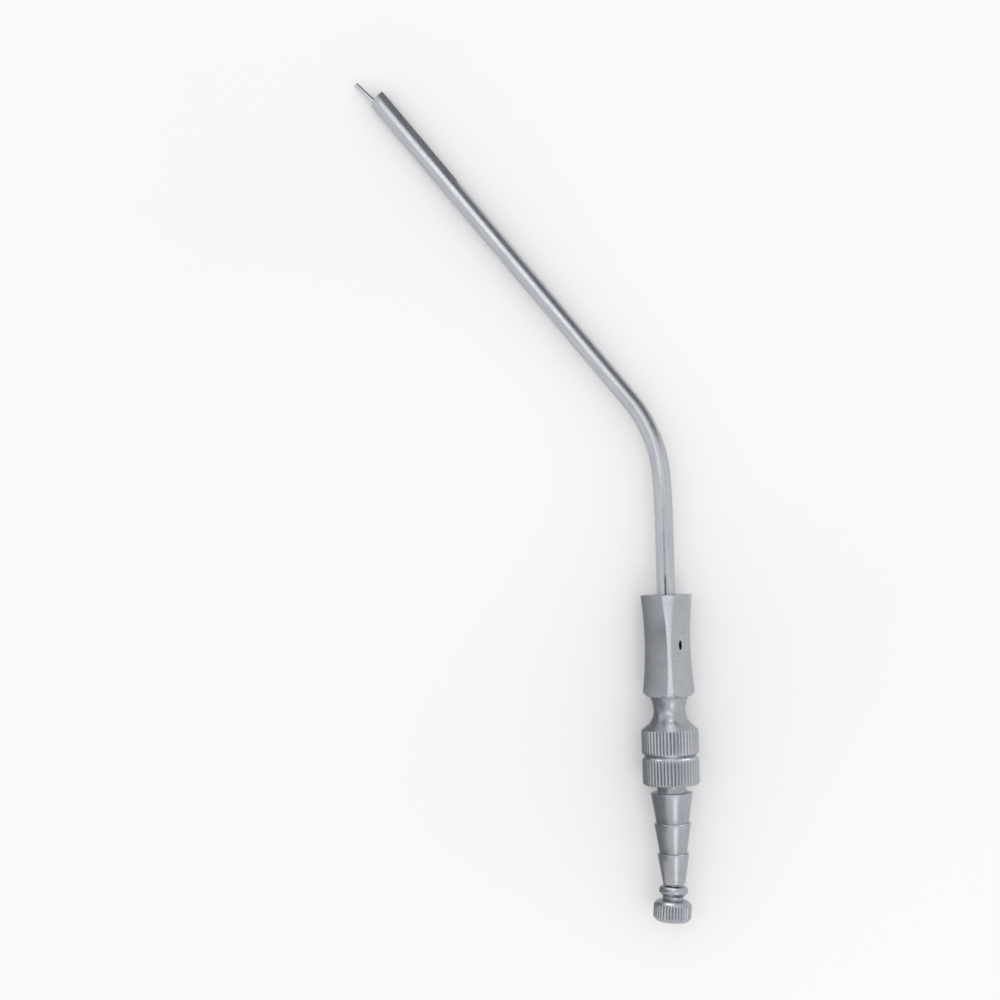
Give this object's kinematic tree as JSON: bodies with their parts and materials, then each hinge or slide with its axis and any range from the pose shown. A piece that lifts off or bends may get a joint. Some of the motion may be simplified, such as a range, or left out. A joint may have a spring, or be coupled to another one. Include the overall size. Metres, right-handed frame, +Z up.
{
  "type": "frazier suction tube",
  "caption": "Angled surgical suction tube: bent steel cannula, waisted thumb grip with a vent hole, knurled rings, barbed hose tail, and a wire stylet with a knurled knob.",
  "frame": {"origin": "middle of the bounding box's bottom face, on the surface that the instrument lies on", "axes": "+Z up from that surface, +Y along the handle's axis towards the tip, and the cannula bends towards -X"},
  "size_m": [0.0712, 0.1842, 0.0126],
  "materials": {
    "cannula_steel": "polished stainless steel",
    "handle_steel": "satin stainless steel",
    "connector_steel": "satin stainless steel",
    "knob_steel": "satin stainless steel",
    "wire_steel": "drawn stainless steel wire"
  },
  "bodies": {
    "root": {"cannula": "cannula_steel", "handle": "handle_steel", "hose_connector": "connector_steel", "stylet_knob": "knob_steel", "stylet_wire": "wire_steel"}
  },
  "joints": []
}
